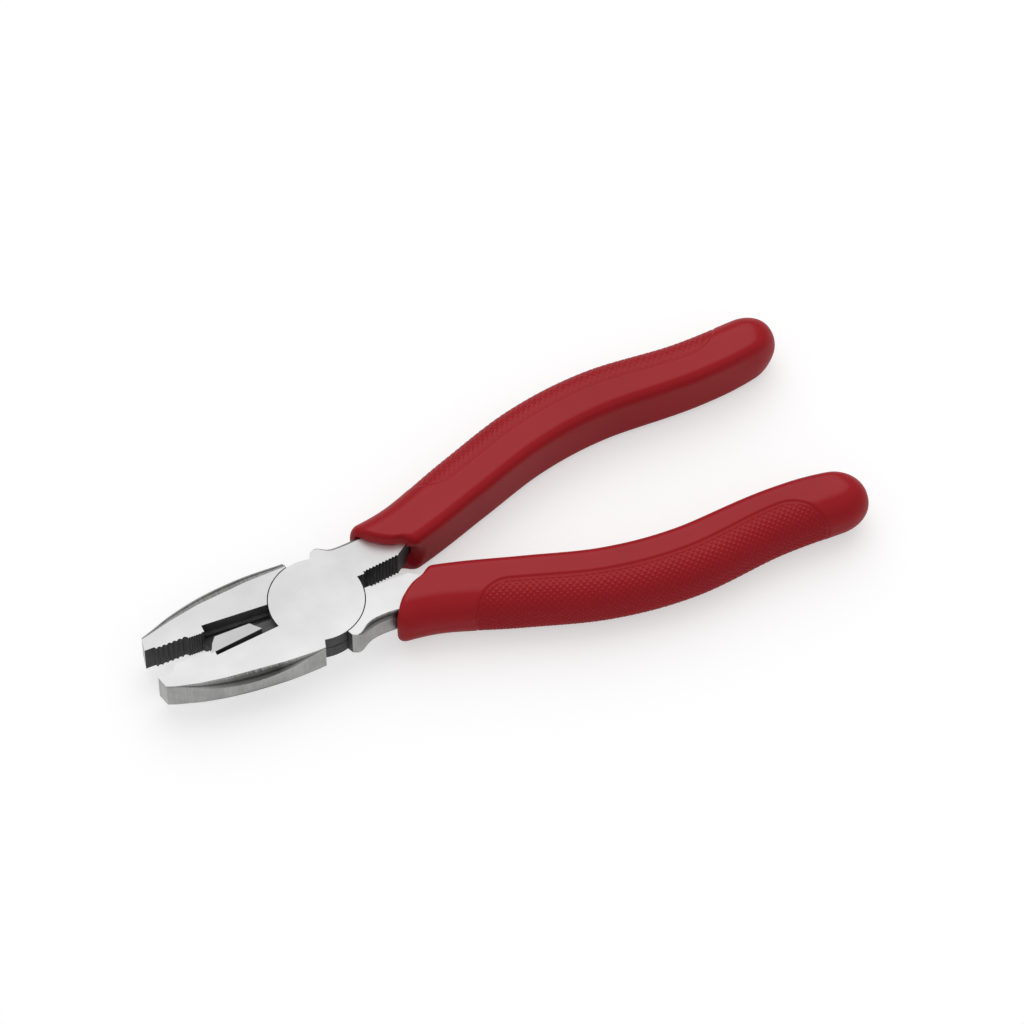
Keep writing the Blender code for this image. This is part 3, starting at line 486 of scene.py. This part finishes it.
def forging(name, node, body, flipped):
    """One half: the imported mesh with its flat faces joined, its edges broken and its finishes."""
    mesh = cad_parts[node].data.copy()
    mesh.name = name
    mesh.materials.clear()
    for finish in FINISHES:
        mesh.materials.append(finish)
    work = bmesh.new()
    work.from_mesh(mesh)
    bmesh.ops.remove_doubles(work, verts=work.verts, dist=WELD)
    bmesh.ops.dissolve_limit(work, angle_limit=math.radians(COPLANAR_DEGREES),
                             verts=work.verts, edges=work.edges)
    bmesh.ops.recalc_face_normals(work, faces=work.faces)
    weight = work.edges.layers.float.new("bevel_weight_edge")
    for edge in work.edges:
        angle = math.degrees(edge.calc_face_angle(0.0))
        edge[weight] = 1.0 if angle > BROKEN_EDGE_DEGREES and not near_rivet(edge) else 0.0
    for face in work.faces:
        face.material_index = finish_of(face, flipped)
    work.to_mesh(mesh)
    work.free()
    mesh.shade_smooth()
    mesh.set_sharp_from_angle(angle=math.radians(SMOOTH_DEGREES))
    piece = placed(name, mesh)
    broken = piece.modifiers.new("broken_edges", "BEVEL")
    broken.limit_method = "WEIGHT"
    broken.width = BROKEN_EDGE_WIDTH
    broken.segments = BROKEN_EDGE_SEGMENTS
    broken.use_clamp_overlap = True
    level = piece.modifiers.new("flat_faces_stay_flat", "WEIGHTED_NORMAL")
    level.keep_sharp = True
    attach(piece, body)
    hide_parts(node)
    counts = [sum(p.material_index == i for p in mesh.polygons) for i in range(len(FINISHES))]
    print(name, "polished, ground, black and honed faces:", counts)


forging("front_forging", "front_half", "front", False)
forging("rear_forging", "rear_half", "rear", True)

# %% [markdown]
# ## The rivet
#
# The rivet is set hot and its heads fill their countersinks, then both are ground with the
# faces, so a finished joint shows no more than the faintest line. It could be a cylinder and
# two cones, but one profile spun about the axis gives them in one skin. Its head clears the
# flats of the 72-sided countersink when the jaws swing, and it takes the faces' own polish.

# %% The rivet, in millimetres
HEAD_RADIUS = 5.894
SHANK_RADIUS = 4.78
HEAD_DEPTH = 1.5
TURN_STEPS = 72


def turned(name, profile, steps):
    """Spins (radius, z) points, in millimetres, about Z. Both ends lie on the axis."""
    work = bmesh.new()
    points = [work.verts.new((radius * MM, 0, z * MM)) for radius, z in profile]
    edges = [work.edges.new(pair) for pair in zip(points, points[1:])]
    bmesh.ops.spin(work, geom=points + edges, axis=(0, 0, 1), cent=(0, 0, 0),
                   angle=math.tau, steps=steps, use_merge=True)
    bmesh.ops.remove_doubles(work, verts=work.verts, dist=WELD)
    bmesh.ops.recalc_face_normals(work, faces=work.faces)
    mesh = bpy.data.meshes.new(name)
    work.to_mesh(mesh)
    work.free()
    return placed(name, mesh)


rivet = turned("flush_rivet", [
    (0.0, HEAD_HIGH), (HEAD_RADIUS, HEAD_HIGH), (SHANK_RADIUS, HEAD_HIGH - HEAD_DEPTH),
    (SHANK_RADIUS, HEAD_LOW + HEAD_DEPTH), (HEAD_RADIUS, HEAD_LOW), (0.0, HEAD_LOW),
], TURN_STEPS)
rivet.data.materials.append(POLISHED)
rivet.data.shade_smooth()
rivet.data.set_sharp_from_angle(angle=math.radians(SMOOTH_DEGREES))
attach(rivet, "front")
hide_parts("pivot_rivet")
print("rivet faces", len(rivet.data.polygons))

# %% [markdown]
# ## The grip's line and section
#
# A sleeve follows the handle: its centre line is a smooth curve through seven stations, and
# its section is a flat-topped block with a tight radius towards the other handle and a full
# round towards the palm. A bevelled curve could carry one section, but this one changes in
# width along the handle and carries a knurl, so its points are worked out. Each is found by
# going along the line to x, then out across it towards the palm, then up. The numbers here
# are real sizes in millimetres.

# %% The grip's line and width
HANDLE_STATIONS = [(12.0, 9.0), (30.0, 11.8), (52.0, 19.4), (74.0, 26.5), (96.0, 29.3),
                   (123.0, 27.8), (150.2, 29.2)]
WIDTH_STATIONS = [(12.0, 16.0), (30.0, 16.0), (52.0, 17.0), (96.0, 17.0), (123.0, 15.8),
                  (150.2, 14.8)]
CURVE_STEPS = 24


def smooth_curve(points, steps):
    """A Catmull-Rom curve through the points, as an array of x and y."""
    points = np.array(points)
    padded = np.vstack([2 * points[0] - points[1], points, 2 * points[-1] - points[-2]])
    t = (np.arange(steps) / steps)[:, None]
    spans = [0.5 * (2 * b + (c - a) * t + (2 * a - 5 * b + 4 * c - d) * t ** 2
                    + (3 * b - a - 3 * c + d) * t ** 3)
             for a, b, c, d in zip(padded, padded[1:], padded[2:], padded[3:])]
    return np.vstack([*spans, points[-1:]])


LINE = smooth_curve(HANDLE_STATIONS, CURVE_STEPS)
WIDTH = smooth_curve(WIDTH_STATIONS, CURVE_STEPS)
LINE_LENGTH = np.concatenate([[0], np.cumsum(np.hypot(*np.diff(LINE, axis=0).T))])
LINE_SLOPE = np.gradient(LINE[:, 1], LINE[:, 0])
HANDLE_END_X = HANDLE_STATIONS[-1][0]


def along(x):
    """Distance along the centre line at x."""
    return np.interp(x, LINE[:, 0], LINE_LENGTH)


def width_at(x):
    return np.interp(x, WIDTH[:, 0], WIDTH[:, 1])


def plan_point(x, out):
    """Plan place of the point that lies out from the centre line at x."""
    slope = np.interp(x, LINE[:, 0], LINE_SLOPE)
    stretch = np.sqrt(1 + slope ** 2)
    return x - out * slope / stretch, np.interp(x, LINE[:, 0], LINE[:, 1]) + out / stretch


print("centre line", round(float(LINE_LENGTH[-1]), 1), "mm long")

# %% [markdown]
# The section is listed from the palm side, over the top, to the side that faces the other
# handle, and mirrored below. The first part of that way has even steps, fine enough for the
# knurl, and the rest shares what is left. Each point also keeps the angle of its normal and
# how far round the sleeve it lies.

# %% The section of a sleeve
GRIP_LOW, GRIP_HIGH = (corner.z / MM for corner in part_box("upper_grip"))
MIDDLE_Z = (GRIP_LOW + GRIP_HIGH) / 2
HALF_THICKNESS = (GRIP_HIGH - GRIP_LOW) / 2
OUTER_RADIUS = 7.4
INNER_RADIUS = 3.0
DIAMOND_LENGTH = 1.8
DIAMOND_WIDTH = 1.68
DIAMOND_DIVISIONS = 6
HALF_WRAP = 14.2
WRAP_MARGIN = 0.8
FAR_STEPS = 26
ROUND_STEPS = 24


def half_outline(width):
    """Out, up, normal angle and wrap of the top half, finely stepped."""
    big = np.linspace(0, math.pi / 2, ROUND_STEPS)
    small = np.linspace(math.pi / 2, math.pi, ROUND_STEPS)
    side = width / 2
    out = np.concatenate([[side], side - OUTER_RADIUS + OUTER_RADIUS * np.cos(big),
                          INNER_RADIUS - side + INNER_RADIUS * np.cos(small), [-side]])
    up = np.concatenate([[0], HALF_THICKNESS - OUTER_RADIUS + OUTER_RADIUS * np.sin(big),
                         HALF_THICKNESS - INNER_RADIUS + INNER_RADIUS * np.sin(small), [0]])
    angle = np.concatenate([[0], big, small, [math.pi]])
    wrap = np.concatenate([[0], np.cumsum(np.hypot(np.diff(out), np.diff(up)))])
    return out, up, angle, wrap


NEAR_WRAPS = np.arange(0, HALF_WRAP + WRAP_MARGIN, DIAMOND_WIDTH / DIAMOND_DIVISIONS)


def section(width):
    """Rows of out, up, normal angle and wrap all the way round, for one width."""
    *shape, wrap = half_outline(width)
    left = wrap[-1] - NEAR_WRAPS[-1]
    places = np.concatenate([NEAR_WRAPS, NEAR_WRAPS[-1] + left * np.arange(1, FAR_STEPS + 1) / FAR_STEPS])
    top = np.array([*[np.interp(places, wrap, values) for values in shape], places])
    low = top[:, 1:-1][:, ::-1] * np.array([1, -1, -1, -1])[:, None]
    return np.hstack([top, low])


ROUND_COUNT = section(WIDTH_STATIONS[0][1]).shape[1]
print("points round a sleeve", ROUND_COUNT)

# %% [markdown]
# ## The knurled panel
#
# The palm side has a panel of small diamonds, the print of a knurled mould insert. It is
# rounded at both ends, and a fine groove frames it. A bump in the material could draw the
# diamonds, but it would leave the outline smooth, so they are real geometry: two sets of
# slanted ridges, where a point's height is the lower of the two. Over the top half of the
# moulding, which the upper grip shows, the panel is a little narrower, and the print gets
# half as deep over the first 5 mm from the middle of the palm. The lower grip is turned
# over, so it shows the deep half.

# %% The knurled panel, in millimetres
DIAMOND_HEIGHT = 0.5
PANEL_START_X = 39.2
PANEL_END_X = 136.1
PANEL_START_ROUND = 10.0
PANEL_END_ROUND = 11.5
FRAME_GROOVE_WIDTH = 0.36
FRAME_GROOVE_DEPTH = 0.5
PANEL_SINK = 0.04
PANEL_FADE = 0.5
TOP_HALF_WRAP = 13.2
TOP_PRINT_SHARE = 0.5
TOP_PRINT_WRAP = 5.0
SLOPE_FLOOR = 0.001


def ridge(phase):
    """A ridge wave from 0 in the groove to 1 on the crest."""
    return 1 - np.abs(2 * (phase - np.floor(phase)) - 1)


def panel_inside(s, wrap):
    """Distance in from the panel's edge, negative outside, at s along and wrap round."""
    start, end = along(PANEL_START_X) + PANEL_START_ROUND, along(PANEL_END_X) - PANEL_END_ROUND
    reach = PANEL_START_ROUND if s < start else PANEL_END_ROUND
    run = max(start - s, s - end, 0.0) / reach
    edge = np.where(wrap > 0, TOP_HALF_WRAP, HALF_WRAP)
    radius = np.hypot(run, wrap / edge)
    slope = np.hypot(run / reach, wrap / edge ** 2) / np.maximum(radius, SLOPE_FLOOR)
    return (1 - radius) / np.maximum(slope, SLOPE_FLOOR)


def skin_depth(s, wrap):
    """How far the skin lies below the smooth surface at s along and wrap round."""
    inside = panel_inside(s, wrap)
    lower = np.minimum(ridge(s / DIAMOND_LENGTH + wrap / DIAMOND_WIDTH),
                       ridge(s / DIAMOND_LENGTH - wrap / DIAMOND_WIDTH))
    share = np.clip((inside - FRAME_GROOVE_WIDTH) / PANEL_FADE, 0, 1)
    groove = FRAME_GROOVE_DEPTH * np.exp(-(inside / FRAME_GROOVE_WIDTH) ** 2)
    pressed = 1 - (1 - TOP_PRINT_SHARE) * np.clip(wrap / TOP_PRINT_WRAP, 0, 1)
    return pressed * (share * ((1 - lower) * DIAMOND_HEIGHT + PANEL_SINK) + groove)


print("a diamond is", DIAMOND_LENGTH, "by", DIAMOND_WIDTH, "mm")

# %% [markdown]
# ## The mouth and the bore
#
# The sleeve's mouth is a rounded tongue: a wall that stands straight up from one smooth
# curve in plan. A Boolean could cut it, but that would break up the even rings. So for each
# line along the sleeve a search finds the x at which it meets that curve. Inside, the sleeve
# lies close on the steel neck and then on the handle's core.

# %% The mouth and the bore, in millimetres
MOUTH_STATIONS = [(31.6, 2.5), (28.6, 6.1), (24.6, 7.7), (21.2, 10.1), (18.4, 13.0),
                  (16.5, 16.2), (18.7, 19.0), (23.5, 20.9)]
MOUTH = smooth_curve(MOUTH_STATIONS, CURVE_STEPS)
MOUTH_SEARCH_START_X, MOUTH_SEARCH_END_X, MOUTH_SEARCH_STEP = 10.0, 45.0, 0.02
MOUTH_SEARCH = np.arange(MOUTH_SEARCH_START_X, MOUTH_SEARCH_END_X, MOUTH_SEARCH_STEP)
MOUTH_REACH = 8.6
MOUTH_LINES = 173
MOUTH_OUTS = np.linspace(-MOUTH_REACH, MOUTH_REACH, MOUTH_LINES)
STEEL_GAP = 0.2
CORE_HALF = 4.75
STEEL_OUTER = np.array([(13.0, 4.45), (15.4, 4.3), (18.3, 4.1), (21.4, 4.0), (24.7, 4.1),
                        (33.0, CORE_HALF)]).T
STEEL_INNER = np.array([(26.4, -7.1), (28.4, -5.2), (29.9, -4.8), (33.0, -CORE_HALF)]).T
BORE_HALF_HEIGHT = (HEAD_HIGH - HEAD_LOW) / 2 + STEEL_GAP
BORE_END_X = 142.2


def mouth_at(out):
    """The x at which the line that lies out from the centre meets the mouth's curve."""
    x, y = plan_point(MOUTH_SEARCH, out)
    return MOUTH_SEARCH[np.argmax(x >= np.interp(y, MOUTH[:, 1], MOUTH[:, 0]))]


MOUTH_XS = np.array([mouth_at(out) for out in MOUTH_OUTS])


def mouth_x(out):
    return np.interp(out, MOUTH_OUTS, MOUTH_XS)


def bore_points(x, out, up):
    """The bore's edge at x, in the directions of the points at out and up."""
    palm = np.interp(x, *STEEL_OUTER) + STEEL_GAP
    inside = np.interp(x, *STEEL_INNER) - STEEL_GAP
    middle, half = (palm + inside) / 2, (palm - inside) / 2
    reach = np.maximum(np.abs(out - middle) / half, np.abs(up) / BORE_HALF_HEIGHT)
    return middle + (out - middle) / reach, up / reach


print("the mouth reaches from x", MOUTH_XS.min().round(1), "to", MOUTH_XS.max().round(1))

# %% [markdown]
# ## The sleeves
#
# Each sleeve is one closed skin of rings: from the round tip along the outside to the
# mouth, over a small round lip, down the mouth's wall to the steel, and back along the bore
# to just past the end of the steel. An outer and an inner shape with a Boolean between them
# could do it too, but one skin has no seam at the lip. The lower sleeve is the same moulding
# turned over.

# %% Rings of a sleeve, in millimetres
TIP_LENGTH = 9.0
TIP_STEPS = 16
TIP_FULLNESS = 0.8
TIP_ROOM = 0.02
TIP_BLEND_LENGTH = 20.0
PLAIN_STEP = 0.8
FINE_ROOM = 1.0
FINE_START_X, FINE_END_X = PANEL_START_X - FINE_ROOM, PANEL_END_X + FINE_ROOM
MOUTH_STEPS = 30
LIP_RADIUS = 1.5
LIP_PALM_ROOM = 1.5
SIDE_SETBACK = 2.0
SIDE_SETBACK_HEIGHT = 5.0
LIP_STEPS = 6
WALL_STEPS = 4
BORE_STEPS = 24


def ring(x, out, up):
    """One ring of points in the model's frame, from x along, out across and up."""
    px, py = plan_point(x, out)
    return np.stack(np.broadcast_arrays(px, py, MIDDLE_Z + up), axis=1)


def rounded(x, out, up):
    """A section that turns smoothly into an ellipse over the last stretch before the tip."""
    share = np.clip(1 - (HANDLE_END_X - x) / TIP_BLEND_LENGTH, 0, 1) ** 2
    keep = 1 - share + share / np.hypot(out / (width_at(x) / 2), up / HALF_THICKNESS)
    return out * keep, up * keep


def tip_rings():
    """The round end, from next to the tip back to where the body starts."""
    start = HANDLE_END_X - TIP_ROOM - TIP_LENGTH
    for a in np.linspace(math.pi / 2, 0, TIP_STEPS, endpoint=False)[1:]:
        x = start + TIP_LENGTH * math.sin(a)
        out, up = rounded(x, *section(width_at(x))[:2])
        yield ring(x, out * math.cos(a) ** TIP_FULLNESS, up * math.cos(a) ** TIP_FULLNESS)


def body_rings():
    """Plain rings behind the panel, then rings fine enough for the knurl."""
    panel = np.arange(along(FINE_START_X), along(FINE_END_X), DIAMOND_LENGTH / DIAMOND_DIVISIONS)
    fine = np.interp(panel, LINE_LENGTH, LINE[:, 0])
    rear = np.arange(HANDLE_END_X - TIP_ROOM - TIP_LENGTH, fine[-1], -PLAIN_STEP)
    for x in (*rear, *fine[::-1]):
        out, up, angle, wrap = section(width_at(x))
        depth = skin_depth(along(x), wrap)
        yield ring(x, *rounded(x, out - depth * np.cos(angle), up - depth * np.sin(angle)))


def mouth_rings(front):
    """From the last fine ring to the mouth, over the lip, down its wall and along the bore."""
    narrow, wide = section(WIDTH_STATIONS[0][1]), section(width_at(front))
    lip = LIP_RADIUS + LIP_PALM_ROOM * np.maximum(np.cos(narrow[2]), 0)
    setback = (SIDE_SETBACK * np.maximum(-np.cos(narrow[2]), 0)
               * np.maximum(1 - (narrow[1] / SIDE_SETBACK_HEIGHT) ** 2, 0))
    lip_start = mouth_x(narrow[0]) + setback + lip
    for k in range(1, MOUTH_STEPS + 1):
        x = front + (lip_start - front) * k / MOUTH_STEPS
        share = (width_at(x) - WIDTH_STATIONS[0][1]) / (width_at(front) - WIDTH_STATIONS[0][1])
        yield ring(x, narrow[0] + share * (wide[0] - narrow[0]), narrow[1] + share * (wide[1] - narrow[1]))
    out, up, angle, _ = narrow
    for a in np.linspace(0, math.pi / 2, LIP_STEPS + 1)[1:]:
        sunk = lip * (1 - math.cos(a))
        lip_out, lip_up = out - sunk * np.cos(angle), up - sunk * np.sin(angle)
        yield ring(mouth_x(lip_out) + setback + lip * (1 - math.sin(a)), lip_out, lip_up)
    bore_out, bore_up = bore_points(mouth_x(out) + setback, out, up)
    for t in np.arange(1, WALL_STEPS + 1) / WALL_STEPS:
        wall_out = lip_out + (bore_out - lip_out) * t
        yield ring(mouth_x(wall_out) + setback, wall_out, lip_up + (bore_up - lip_up) * t)
    bore_start = mouth_x(bore_out) + setback
    for t in np.arange(1, BORE_STEPS + 1) / BORE_STEPS:
        x = bore_start + (BORE_END_X - bore_start) * t
        yield ring(x, *bore_points(x, out, up))


def sleeve_points():
    """All the rings, with a first point at the tip and a last at the bore's end."""
    tip = ring(HANDLE_END_X - TIP_ROOM, np.zeros(1), np.zeros(1))
    end = ring(BORE_END_X, np.zeros(1), np.zeros(1))
    return np.vstack([tip, *tip_rings(), *body_rings(), *mouth_rings(FINE_START_X), end])


SLEEVE = sleeve_points()
RING_COUNT = (len(SLEEVE) - 2) // ROUND_COUNT
print("rings", RING_COUNT, "points", len(SLEEVE))

# %% Skin the sleeves
CM3_PER_M3 = 1e6


def sleeve_faces():
    """A fan at the tip, quads between the rings and a fan at the end of the bore."""
    here = 1 + np.arange(RING_COUNT * ROUND_COUNT).reshape(RING_COUNT, ROUND_COUNT)
    on = np.roll(here, -1, axis=1)
    quads = np.stack([here[:-1], here[1:], on[1:], on[:-1]], axis=-1).reshape(-1, 4)
    last = len(SLEEVE) - 1
    tip = [(0, a, b) for a, b in zip(here[0], on[0])]
    end = [(last, b, a) for a, b in zip(here[-1], on[-1])]
    return tip + quads.tolist() + end


def sleeve(name, node, body, flipped):
    """One sleeve, turned over about the X axis for the lower handle."""
    points = SLEEVE * np.array([1, -1, -1]) + np.array([0, 0, 2 * MIDDLE_Z]) if flipped else SLEEVE
    mesh = bpy.data.meshes.new(name)
    mesh.from_pydata((points * MM).tolist(), [], sleeve_faces())
    mesh.materials.append(VINYL)
    mesh.shade_smooth()
    piece = placed(name, mesh)
    work = bmesh.new()
    work.from_mesh(mesh)
    bmesh.ops.recalc_face_normals(work, faces=work.faces)
    work.to_mesh(mesh)
    print(name, len(mesh.polygons), "faces,", sum(not e.is_manifold for e in work.edges), "open edges,",
          round(work.calc_volume() * CM3_PER_M3, 1), "cm3")
    work.free()
    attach(piece, body)
    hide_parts(node)


sleeve("upper_grip_sleeve", "upper_grip", "front", False)
sleeve("lower_grip_sleeve", "lower_grip", "rear", True)

# %% [markdown]
# ## Studio
#
# The pliers lie on a white floor. For the camera, a mirror or glass it glows up to plain
# white, and for everything else it is a pale matt surface that takes the soft shadow. More
# light could whiten it too, but would wash out the tool. One wide softbox opposite the
# camera lights the vinyl and the floor. The steel doesn't mirror it, so its flat faces show
# the even white room alone. A low dark screen all round the table, out of the camera's
# sight, gives the steel's upright walls something to mirror.

# %% Floor, with its size in metres
FLOOR_Z = min(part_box(node)[0].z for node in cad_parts)
FLOOR_SIZE = 6.0


def plate(name, size, location):
    """A level square plate that isn't part of the object."""
    mesh = bpy.data.meshes.new(name)
    half = size / 2
    mesh.from_pydata([(-half, -half, 0), (half, -half, 0), (half, half, 0), (-half, half, 0)], [],
                     [(0, 1, 2, 3)])
    piece = placed(name, mesh)
    piece.location = location
    return piece


def seen_directly(tree):
    """1 for a camera, mirror or glass ray, and 0 for the rays that carry light."""
    path = add(tree, "ShaderNodeLightPath")
    first = add(tree, "ShaderNodeMath", {"operation": "MAXIMUM"},
                {0: path.outputs["Is Camera Ray"], 1: path.outputs["Is Glossy Ray"]})
    return add(tree, "ShaderNodeMath", {"operation": "MAXIMUM"},
               {0: first.outputs["Value"], 1: path.outputs["Is Transmission Ray"]}).outputs["Value"]


FLOOR_GLOW = 0.49
FLOOR_COLOUR = "#CFCFCF"


def floor_material():
    made, tree, shader = new_material("white_floor")
    shader.inputs["Base Color"].default_value = linear(FLOOR_COLOUR)
    shader.inputs["Roughness"].default_value = 1.0
    shader.inputs["Specular IOR Level"].default_value = 0.0
    glow = add(tree, "ShaderNodeMath", {"operation": "MULTIPLY", 1: FLOOR_GLOW}, {0: seen_directly(tree)})
    tree.links.new(glow.outputs["Value"], shader.inputs["Emission Strength"])
    shader.inputs["Emission Color"].default_value = linear("#FFFFFF")
    return made


floor = plate("white_floor", FLOOR_SIZE, (0, 0, FLOOR_Z))
floor.data.materials.append(floor_material())
print("floor at z", round(FLOOR_Z / MM, 2), "mm")

# %% Dark screen round the table, in metres
SCREEN_RADIUS = 0.9
SCREEN_LOW, SCREEN_HIGH = FLOOR_Z, 0.4
SCREEN_SIDES = 48
SCREEN_COLOUR = "#202020"


def screen_material():
    made, _, shader = new_material("dark_screen")
    shader.inputs["Base Color"].default_value = linear(SCREEN_COLOUR)
    shader.inputs["Roughness"].default_value = 1.0
    return made


def dark_screen():
    """A band round the table that only mirrors see."""
    work = bmesh.new()
    rings = []
    for z in (SCREEN_LOW, SCREEN_HIGH):
        rings.append([work.verts.new((SCREEN_RADIUS * math.cos(math.tau * i / SCREEN_SIDES),
                                      SCREEN_RADIUS * math.sin(math.tau * i / SCREEN_SIDES), z))
                      for i in range(SCREEN_SIDES)])
    for i in range(SCREEN_SIDES):
        j = (i + 1) % SCREEN_SIDES
        work.faces.new((rings[0][i], rings[0][j], rings[1][j], rings[1][i]))
    mesh = bpy.data.meshes.new("dark_screen")
    work.to_mesh(mesh)
    work.free()
    mesh.materials.append(screen_material())
    piece = placed("dark_screen", mesh)
    piece.visible_camera = False
    piece.visible_diffuse = False
    piece.visible_shadow = False
    piece.visible_transmission = False


dark_screen()
print("dark screen", SCREEN_HIGH, "m high")

# %% Softbox and world, in metres and watts
SOFTBOX_SIZE = 1.5
SOFTBOX_DISTANCE = 1.3
SOFTBOX_ENERGY = 7.2
OPPOSITE_TURN_DEGREES = 180 + CAMERA_TURN_DEGREES
WORLD_STRENGTH = 0.6

light = bpy.data.lights.new("softbox", "AREA")
light.shape = "SQUARE"
light.size = SOFTBOX_SIZE
light.energy = SOFTBOX_ENERGY
softbox = placed("softbox", light)
aim(softbox, OPPOSITE_TURN_DEGREES, CAMERA_ELEVATION_DEGREES, SOFTBOX_DISTANCE)
softbox.visible_camera = False
softbox.visible_glossy = False

world = bpy.data.worlds.new("white_room")
bpy.context.scene.world = world
world.use_nodes = True
sky = world.node_tree.nodes["Background"]
strength = add(world.node_tree, "ShaderNodeMapRange", {"To Min": WORLD_STRENGTH, "To Max": 1.0},
               {"Value": seen_directly(world.node_tree)})
world.node_tree.links.new(strength.outputs["Result"], sky.inputs["Strength"])
sky.inputs["Color"].default_value = linear("#FFFFFF")
bpy.context.scene.view_settings.view_transform = "Standard"
print("world strength", WORLD_STRENGTH)
